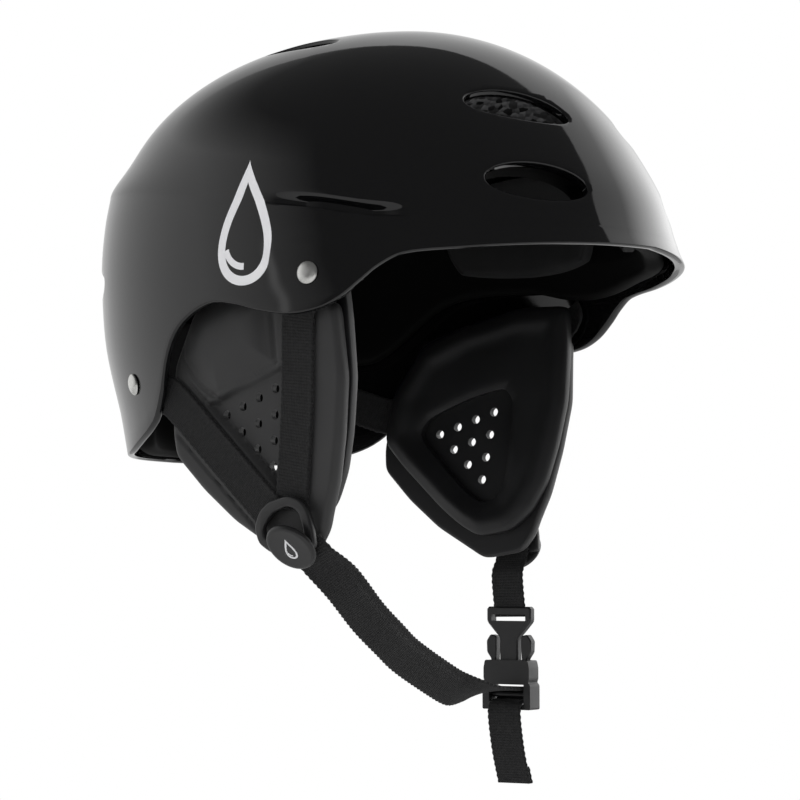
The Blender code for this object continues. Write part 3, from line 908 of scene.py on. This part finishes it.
# ---- ear pads
# outlines and runs on the flat pad: distance backwards, then height
EAR_INNER = (
    (-0.0352, 0.0010), (-0.0366, -0.0200), (-0.0366, -0.0450), (-0.0330, -0.0660), (-0.0285, -0.0830),
    (-0.0215, -0.0965), (-0.0120, -0.1050), (0.0050, -0.1075), (0.0160, -0.1015), (0.0260, -0.0940),
    (0.0490, -0.0730), (0.0600, -0.0610), (0.0570, -0.0380), (0.0430, -0.0160), (0.0200, -0.0060),
    (-0.0100, 0.0015),
)
EAR_FLANGE = (
    (-0.0345, -0.0150), (-0.0360, -0.0450), (-0.0325, -0.0680), (-0.0278, -0.0880), (-0.0226, -0.1010),
    (-0.0208, -0.1070), (-0.0150, -0.1148), (0.0040, -0.1178), (0.0150, -0.1115), (0.0300, -0.1030),
    (0.0470, -0.0895), (0.0620, -0.0745), (0.0630, -0.0640), (0.0590, -0.0360), (0.0450, -0.0130),
    (0.0200, -0.0040),
)
EAR_POCKET = ((-0.0060, -0.0385), (0.0400, -0.0532), (-0.0010, -0.0950))
EAR_LIP = (
    (-0.0092, -0.0430), (-0.0044, -0.0367), (0.0110, -0.0400), (0.0240, -0.0447), (0.0365, -0.0503),
    (0.0408, -0.0560), (0.0395, -0.0608), (0.0260, -0.0750), (0.0130, -0.0870), (0.0055, -0.0916),
    (-0.0026, -0.0900), (-0.0068, -0.0824), (-0.0088, -0.0588),
)
EAR_PANEL = (
    (0.0004, -0.0080), (0.0004, -0.0375), (0.0110, -0.0412), (0.0225, -0.0462), (0.0330, -0.0507),
    (0.0440, -0.0440), (0.0520, -0.0330), (0.0500, -0.0200), (0.0420, -0.0110), (0.0200, -0.0060),
)
EAR_MIDDLE = Vector((0.010, -0.056))
HOLE_ROWS = ((0.0033, -0.0480, 4), (0.0047, -0.0588, 3), (0.0061, -0.0696, 2), (0.0075, -0.0803, 1))
STRAP_FRONT = ((-0.0154, -0.0215), (-0.0116, -0.0560), (-0.0060, -0.0905))
STRAP_REAR = ((0.0590, -0.0502), (0.0350, -0.0732), (0.0165, -0.0910))


def lean(y, h):
    return EAR_TOE * (y - 0.0033) + EAR_TILT * (-0.048 - h)


def ear_point(side, d, y, h):
    return Vector((side * (d - lean(y, h)), y, h + BRIM_Z))


def to_ear(obj, side):
    """Bring a flat piece, drawn as (backwards, up, outwards), to its place on that side."""
    for vert in obj.data.vertices:
        y, h, d = vert.co
        vert.co = ear_point(side, d, y, h)
    if side < 0:
        obj.data.flip_normals()
    obj.data.update()


def depth_inside(outline, y, h):
    """Distance to the nearest edge of the outline, positive inside."""
    best = 1.0
    inside = False
    count = len(outline)
    for i in range(count):
        ax, ay = outline[i]
        bx, by = outline[(i + 1) % count]
        ex = bx - ax
        ey = by - ay
        t = ((y - ax) * ex + (h - ay) * ey) / (ex * ex + ey * ey)
        t = min(max(t, 0.0), 1.0)
        dist = math.hypot(y - ax - ex * t, h - ay - ey * t)
        best = min(best, dist)
        if (ay > h) != (by > h) and y < ax + ex * (h - ay) / ey:
            inside = not inside
    return best if inside else -best


def resample(outline, count):
    """That many evenly spaced points on the outline, its corners eased."""
    lengths = [0.0]
    loop = list(outline) + [outline[0]]
    for a, b in zip(loop[:-1], loop[1:]):
        lengths.append(lengths[-1] + math.dist(a, b))
    out = []
    k = 0
    for i in range(count):
        s = lengths[-1] * i / count
        while lengths[k + 1] < s:
            k += 1
        t = (s - lengths[k]) / max(lengths[k + 1] - lengths[k], 1e-9)
        out.append(Vector(loop[k]).lerp(Vector(loop[k + 1]), t))
    for _ in range(4):
        out = [(out[i - 1] + out[i] * 2 + out[(i + 1) % count]) / 4 for i in range(count)]
    return out


def pad_solid(name, outline, faces, mat, ease=0, rings=52):
    """Moulded pad, drawn flat: an outline with rounded edges whose two faces carry relief.

    faces gives each face's height, edge radius and relief, the lower one first. ease is how many times the
    faces' heights are averaged, which rounds the relief's corners."""
    bm = bmesh.new()
    near = (0.0, 0.10, 0.26, 0.46, 0.70, 1.0)
    loops = []
    for (base, radius, shape), sign in zip(faces, (-1, 1)):
        stack = []
        for k in range(len(near) + rings - 1):
            t = 1 - (k - len(near) + 1) / rings
            ring = []
            for b in outline:
                span = (b - EAR_MIDDLE).length
                e = near[k] * radius if k < len(near) else span - (span - radius) * t
                fall = radius * (1 - math.sqrt(max(1 - (1 - min(e / radius, 1.0)) ** 2, 0.0)))
                p = EAR_MIDDLE + (b - EAR_MIDDLE) * (1 - e / span)
                z = base - sign * fall + shape(p.x, p.y) * step(0.0, radius * 1.6, e)
                ring.append(bm.verts.new((p.x, p.y, z)))
            stack.append(ring)
        tip = bm.verts.new((EAR_MIDDLE.x, EAR_MIDDLE.y, base + shape(EAR_MIDDLE.x, EAR_MIDDLE.y)))
        for a, b in zip(stack[:-1], stack[1:]):
            ring_faces(bm, a, b)
        fan(bm, stack[-1], tip)
        loops.append(stack[0])
        inside = [vert for ring in stack[4:] for vert in ring]
        for _ in range(ease):
            bmesh.ops.smooth_vert(bm, verts=inside, factor=0.5, use_axis_z=True)
    ring_faces(bm, loops[0], loops[1])
    return make(bm, name, mat, 80.0)


HOLE_RADIUS = 0.0021
HOLE_STEP = (0.0096, -0.0033)


def hole_cutter():
    bm = bmesh.new()
    for y0, h0, count in HOLE_ROWS:
        for i in range(count):
            spot = Matrix.Translation((y0 + HOLE_STEP[0] * i, h0 + HOLE_STEP[1] * i, EAR_BACK))
            bmesh.ops.create_cone(bm, cap_ends=True, segments=28, radius1=HOLE_RADIUS, radius2=HOLE_RADIUS,
                                  depth=0.016, matrix=spot)
    return make(bm, "hole_cutter", PAD)


def strap_offset(y, h, line):
    """Signed distance from a strap's centre line, positive on its upper front side."""
    (ay, ah), (by, bh) = line[0], line[-1]
    ey = by - ay
    eh = bh - ah
    size = math.hypot(ey, eh)
    return ((y - ay) * eh - (h - ah) * ey) / size


def outer_relief(y, h):
    """Outer side of the ear pad: swollen panel over the ear, sunk triangle, grooves and the strap's bed."""
    panel = depth_inside(EAR_PANEL, y, h)
    window = depth_inside(EAR_POCKET, y, h)
    z = 0.0
    if panel > 0:
        z += 0.0026 * (1 - bell(panel, 0, 0.0070)) + 0.0005 * step(0.0, 0.0010, panel)
    z -= 0.0006 * bell(panel, -0.0009, 0.0008)
    z -= 0.0034 * step(-0.0012, 0.0016, window)
    z -= 0.0005 * bell(window, -0.0030, 0.0007)
    if h < -0.040:
        rear = abs(strap_offset(y, h, STRAP_REAR))
        z -= 0.0009 * bell(rear, 0.0112, 0.0007) * step(-0.040, -0.046, h)
    return z


def flat_relief(*_):
    return 0.0


def inner_relief(y, h):
    """Cheek side of the ear cushion: a soft ridge inside its edge, then a low lip round the thin web."""
    lip = depth_inside(EAR_LIP, y, h)
    rim = depth_inside(EAR_INNER, y, h)
    z = 0.0016 * bell(rim, 0.0062, 0.0030)
    z -= 0.0006 * step(0.0095, 0.0135, rim)
    z -= 0.0016 * step(-0.0026, 0.0012, lip)
    return -z


def ear_layers(side, hand):
    outline = resample(rounded(EAR_FLANGE, 0.0022, 3), 300)
    outer = pad_solid("ear_shell_" + hand, outline,
                      ((EAR_BACK, 0.0016, flat_relief), (EAR_FACE, 0.0030, outer_relief)), PAD)
    holes = hole_cutter()
    outline = resample(rounded(EAR_INNER, 0.004), 300)
    inner = pad_solid("ear_cushion_" + hand, outline,
                      ((RING_IN, 0.0020, inner_relief), (RING_OUT, 0.0006, flat_relief)), DARK_FOAM_AND_BACK_SHADE, ease=14)
    shape = resample(rounded(EAR_LIP, 0.002, 3), 120)
    window = prism("window", [(p.x, p.y) for p in shape], 0.060, 0.095, DARK_FOAM_AND_BACK_SHADE)
    for obj in (outer, holes, inner, window):
        to_ear(obj, side)
    subtract(outer, [holes], 60.0)
    # The outer pad's back faces and the back ends of its holes take the darker foam as painted shade.
    outer.data.materials.append(DARK_FOAM_AND_BACK_SHADE)
    for face in outer.data.polygons:
        x, y, z = face.center
        if side * x + lean(y, z - BRIM_Z) < EAR_BACK + 0.0006:
            face.material_index = 1
    subtract(inner, [window], 60.0)
    soften(inner, 0.0009, 3, 50.0, 70.0)
    for obj, node in ((outer, "ear_pad_outer_"), (inner, "ear_pad_inner_")):
        stand_in(obj, "ear_pad_" + hand, node + hand)


def ear_straps(side, hand):
    """The two straps on an ear pad, from their rivets under the shell to the divider."""
    d = EAR_FACE + 0.0003 + WEB_T / 2
    under = 0.0058  # depth of the strap ends under the shell's outer face
    face = Vector((side, EAR_TOE, -EAR_TILT))
    front_u, rear_u = [math.radians(degrees) * side for _, degrees, h in RIVETS]
    front_h, rear_h = [h for _, degrees, h in RIVETS]
    front_n = surface_frame(front_u, front_h)[1]
    rear_n = surface_frame(rear_u, rear_h)[1]
    front = [
        (surface(front_u, front_h + 0.004, under), front_n), (surface(front_u, front_h, under), front_n),
        (Vector((side * 0.0972, -0.0182, -0.0140 + BRIM_Z)), front_n),
    ]
    front += [(ear_point(side, d, y, h), face) for y, h in STRAP_FRONT]
    front.append((ear_point(side, d + 0.0002, -0.0048, -0.0990), face))
    rear = [
        (surface(rear_u + math.radians(2.5) * side, rear_h + 0.002, under), rear_n),
        (surface(rear_u, rear_h, under), rear_n),
        (Vector((side * 0.0838, 0.0690, -0.0470 + BRIM_Z)), rear_n.lerp(face.normalized(), 0.6)),
    ]
    rear += [(ear_point(side, d + 0.0002, y, h), face) for y, h in STRAP_REAR]
    rear.append((ear_point(side, d + 0.0010, 0.0060, -0.1005), face))
    bends = (("front", front, (0.0965, -0.0188, -0.0120), (0.094, -0.0180, -0.0270)),
             ("rear", rear, (0.0850, 0.0740, -0.0450), (0.084, 0.0580, -0.0520)))
    for spot, run, (x0, y0, h0), (x1, y1, h1) in bends:
        web = webbing("strap_{}_{}".format(spot, hand), smooth_run(run), width=STRAP_W)[0]
        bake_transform(web)
        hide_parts("{}_strap_end_{}".format(spot, hand), "{}_strap_{}".format(spot, hand))


DIVIDER = (
    (-0.0192, -0.1150), (-0.0184, -0.1065), (-0.0164, -0.0988), (-0.0128, -0.0950), (-0.0060, -0.0930),
    (0.0048, -0.0954), (0.0104, -0.0993), (0.0138, -0.1060), (0.0120, -0.1128), (0.0050, -0.1170),
)
DIVIDER_WINDOW = (
    (-0.0137, -0.1110), (-0.0132, -0.1062), (-0.0116, -0.1008), (-0.0091, -0.0986), (-0.0056, -0.0975),
    (0.0024, -0.0997), (0.0062, -0.1030), (0.0090, -0.1068), (0.0080, -0.1110),
)
DIVIDER_T = 0.0034
BUTTON = (  # (radius, height) from the front to the back
    (0.0, 0.00130), (0.0030, 0.00130), (0.0086, 0.00132), (0.0096, 0.00140), (0.0102, 0.00138),
    (0.0109, 0.00110), (0.01135, 0.00060), (0.01155, 0.0), (0.01145, -0.00060), (0.0110, -0.00115),
    (0.0102, -0.0013), (0.0050, -0.0013), (0.0, -0.0013),
)
BUTTON_TIP = 41  # degrees that the button looks down


def divider(side, hand):
    """The strap divider's ring and its round button with the printed mark."""
    d = EAR_FACE + 0.0022
    outline = [(p.x, p.y) for p in resample(rounded(DIVIDER, 0.0014, 3), 110)]
    opening = [(p.x, p.y) for p in resample(rounded(DIVIDER_WINDOW, 0.0010, 3), 90)]
    ring = prism("divider_" + hand, outline, d, d + DIVIDER_T, NYLON)
    hole = prism("divider_hole", opening, d - 0.002, d + 0.006, NYLON)
    to_ear(ring, side)
    to_ear(hole, side)
    subtract(ring, [hole])
    soften(ring, 0.0011, 4, 35.0, 70.0)
    body = "ear_pad_" + hand
    stand_in(ring, body, "strap_divider_" + hand)
    tip = math.radians(BUTTON_TIP)
    out = Vector((side * math.cos(tip), 0, -math.sin(tip)))
    level = Vector((0, side, 0))
    up = out.cross(level)
    centre = ear_point(side, EAR_FACE + 0.0060, -0.0070, -0.1145)
    disc = lathe("button_" + hand, BUTTON, 72, NYLON)
    place(disc, centre, level, up, out)
    stand_in(disc, body, "divider_button_" + hand)
    mark = flat_print("button_mark_" + hand, drop_strokes(0.0092), 0.00018)
    place(mark, centre + out * 0.00132, level, up, out)
    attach(mark, body)


def lathe(name, rings, steps, mat):
    """Round solid from (radius, z) pairs, closed by a radius of 0 at each end."""
    bm = bmesh.new()
    last = None
    for radius, z in rings:
        if radius == 0.0:
            tip = bm.verts.new((0, 0, z))
            if last:
                fan(bm, last, tip)
            continue
        ring = [bm.verts.new((x, y, z)) for x, y in ellipse(2 * radius, 2 * radius, steps)]
        if last:
            ring_faces(bm, last, ring)
        else:
            fan(bm, ring, tip)
        last = ring
    return make(bm, name, mat, 70.0)


RIVET = (  # (radius, height) from the shank to the dome
    (0.0, -0.0034), (0.0021, -0.0034), (0.0021, 0.0002), (0.0046, 0.0002), (0.00475, 0.00045),
    (0.0047, 0.00075), (0.00435, 0.00105), (0.0038, 0.00145), (0.0030, 0.00180), (0.0020, 0.00205),
    (0.0010, 0.00217), (0.0, 0.0022),
)


def rivets(side, hand):
    for spot, degrees, h in RIVETS:
        u = math.radians(degrees) * side
        p, normal, level, up = surface_frame(u, h)
        obj = lathe("rivet_{}_{}_head".format(spot, hand), RIVET, 48, STEEL)
        place(obj, p + normal * relief(u, h), level, up, normal)
        stand_in(obj, "helmet", "rivet_{}_{}".format(spot, hand))


# ---- generic prints
def drop_outline(size, wide, tall, shift, steps=96):
    """A plain water drop, point up. wide, tall and shift are shares of size."""
    out = []
    for i in range(steps):
        a = 2 * math.pi * i / steps
        x = math.sin(a) * math.sin(a / 2) ** 1.5
        out.append(Vector((x * wide * size, (0.5 * math.cos(a) * tall + shift) * size)))
    return out


def stroke(points, width):
    """The two edges of an open band of that width along points."""
    left = []
    right = []
    for i, point in enumerate(points):
        t = (points[min(i + 1, len(points) - 1)] - points[max(i - 1, 0)]).normalized()
        n = Vector((-t.y, t.x)) * width / 2
        left.append(point + n)
        right.append(point - n)
    return left, right, False


def drop_strokes(size):
    found = [(drop_outline(size, 0.435, 1.125, 0.020), drop_outline(size, 0.315, 0.850, -0.034), True)]
    arc = []
    for i in range(20):
        a = math.radians(195 + 75 * i / 19)
        arc.append(Vector((math.cos(a) * size * 0.215, -size * 0.16 + math.sin(a) * size * 0.215)))
    found.append(stroke(arc, size * 0.060))
    return found


def flat_print(name, strokes, thick, where=None):
    """Thin printed film from strokes. where maps a flat point and a height to a place."""
    where = where or (lambda p, z: Vector((p.x, p.y, z)))
    bm = bmesh.new()
    across = 5
    for left, right, closed in strokes:
        count = len(left)
        sections = []
        for a, b in zip(left, right):
            row = [a.lerp(b, k / across) for k in range(across + 1)]
            top = [bm.verts.new(where(p, thick)) for p in row]
            under = [bm.verts.new(where(p, 0.0)) for p in reversed(row)]
            sections.append(top + under)
        for i in range(count if closed else count - 1):
            ring_faces(bm, sections[i], sections[(i + 1) % count])
        if not closed:
            for section in (sections[0], sections[-1]):
                for k in range(across):
                    bm.faces.new((section[k], section[k + 1], section[-2 - k], section[-1 - k]))
    return make(bm, name, PRINT, 40.0)


def side_print(tree, side, hand):
    p, normal, level, up = surface_frame(math.radians(91.4) * side, 0.0189)

    def where(q, z):
        start = p + level * q.x + up * q.y + normal * 0.02
        hit, n, _, _ = tree.ray_cast(start, -normal)
        n = n if n.dot(normal) > 0 else -n
        return hit + n * (0.00004 + z)

    obj = flat_print("side_mark_" + hand, drop_strokes(0.047), 0.00012, where)
    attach(obj, "helmet")


# ---- light and floor
def area_light(name, spot, target, power, size=1.6):
    """Square soft light that reflections don't show."""
    data = bpy.data.lights.new(name, "AREA")
    data.shape = "RECTANGLE"
    data.size = size
    data.size_y = size
    data.energy = power
    obj = bpy.data.objects.new(name, data)
    obj.location = spot
    obj.rotation_euler = (Vector(target) - Vector(spot)).to_track_quat("-Z", "Y").to_euler()
    obj.visible_glossy = False
    bpy.context.scene.collection.objects.link(obj)


# the room that reflections show; directions are plan degrees from +X
PANEL_FACE = 5.0  # where the long white panel is
PANEL_TOP = 1.5  # slopes, against the way to the panel, of its top and of its end
PANEL_END = 3.08
GLOW_FACE = 350.0  # its brightest part
SIDE_FACE = 95.0  # the dimmer side wall
ROOM_DARK = 0.12  # light from everywhere else


def plan(degrees, rise=0.0):
    turn = math.radians(degrees)
    lift = math.radians(rise)
    return (math.cos(turn) * math.cos(lift), math.sin(turn) * math.cos(lift), math.sin(lift))


def towards(tree, vector, target):
    node = add(tree, "ShaderNodeVectorMath", operation="DOT_PRODUCT")
    tree.links.new(vector, node.inputs[0])
    node.inputs[1].default_value = target
    return node.outputs["Value"]


def room():
    """Plain white to the camera; for everything else a long panel with a glow in it and a dark camera side."""
    world = bpy.data.worlds.new("studio")
    world.use_nodes = True
    tree = world.node_tree
    shown = tree.nodes["Background"]
    shown.inputs["Color"].default_value = (1, 1, 1, 1)
    where = add(tree, "ShaderNodeTexCoord").outputs["Generated"]
    ahead = towards(tree, where, plan(PANEL_FACE))
    aside = towards(tree, where, plan(PANEL_FACE + 90))
    rise = towards(tree, where, (0, 0, 1))
    under_top = maths(tree, "SUBTRACT", maths(tree, "MULTIPLY", ahead, PANEL_TOP), rise)
    past_end = maths(tree, "ADD", aside, maths(tree, "MULTIPLY", ahead, PANEL_END))
    panel = spread(tree, under_top, 0, 1, 0, 0.02)
    panel = maths(tree, "MULTIPLY", panel, spread(tree, past_end, 0, 1, 0, 0.03))
    panel = maths(tree, "MULTIPLY", panel, spread(tree, aside, 1, 0, 0.35, 0.85))
    glow = spread(tree, towards(tree, where, plan(GLOW_FACE, 8)), 0.80, 2.5, 0.84, 0.985)
    wall = spread(tree, towards(tree, where, plan(SIDE_FACE)), 0, 0.8, 0.30, 0.85)
    wall = maths(tree, "MULTIPLY", wall, spread(tree, rise, 1, 0, 0.50, 0.78))
    rest = maths(tree, "MULTIPLY", wall, maths(tree, "SUBTRACT", 1.0, panel))
    total = maths(tree, "ADD", maths(tree, "MULTIPLY", panel, glow), maths(tree, "ADD", rest, ROOM_DARK))
    lit = add(tree, "ShaderNodeBackground")
    tree.links.new(total, lit.inputs["Strength"])
    lit.inputs["Color"].default_value = (1, 1, 1, 1)
    path = add(tree, "ShaderNodeLightPath")
    either = add(tree, "ShaderNodeMixShader")
    tree.links.new(path.outputs["Is Camera Ray"], either.inputs[0])
    tree.links.new(lit.outputs[0], either.inputs[1])
    tree.links.new(shown.outputs[0], either.inputs[2])
    tree.links.new(either.outputs[0], tree.nodes["World Output"].inputs[0])
    bpy.context.scene.world = world


def studio():
    bpy.context.scene.view_settings.view_transform = "Standard"
    room()
    bm = bmesh.new()
    bmesh.ops.create_grid(bm, x_segments=8, y_segments=8, size=1.6)
    mat, tree, shader = new_material("pale_floor")
    shader.inputs["Roughness"].default_value = 0.7
    tone = noise(tree, coords(tree), 2.0)
    tree.links.new(mix_colour(tree, tone, (0.87, 0.87, 0.87), (0.90, 0.90, 0.90)), shader.inputs["Base Color"])
    floor = make(bm, "floor", mat)
    floor.location = (0, 0, -0.55)
    area_light("fill", (-1.5, -1.3, 0.9), (0, 0, -0.1), 26)
    area_light("top", (0, 0.2, 1.6), (0, 0, 0), 12)


def main():
    make_camera()
    chin_straps()
    tree = make_shell()
    make_liner()
    cushion("brow_cushion", "brow_pad", -40, 40, 0.0165, 0.0295)
    cushion("side_cushion_left", "side_pad_left", 58, 104, 0.016, 0.062)
    cushion("side_cushion_right", "side_pad_right", -104, -58, 0.016, 0.062)
    cushion("rear_cushion", "rear_pad", 157, 203, -0.052, -0.004)
    crown_cushion()
    for side, hand in ((-1, "right"), (1, "left")):
        ear_layers(side, hand)
        ear_straps(side, hand)
        divider(side, hand)
        rivets(side, hand)
        side_print(tree, side, hand)
    for node in ("buckle_male", "buckle_female", "buckle_bar", "buckle_prong_front", "buckle_prong_rear"):
        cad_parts[node].material_slots[0].material = NYLON
    studio()


main()
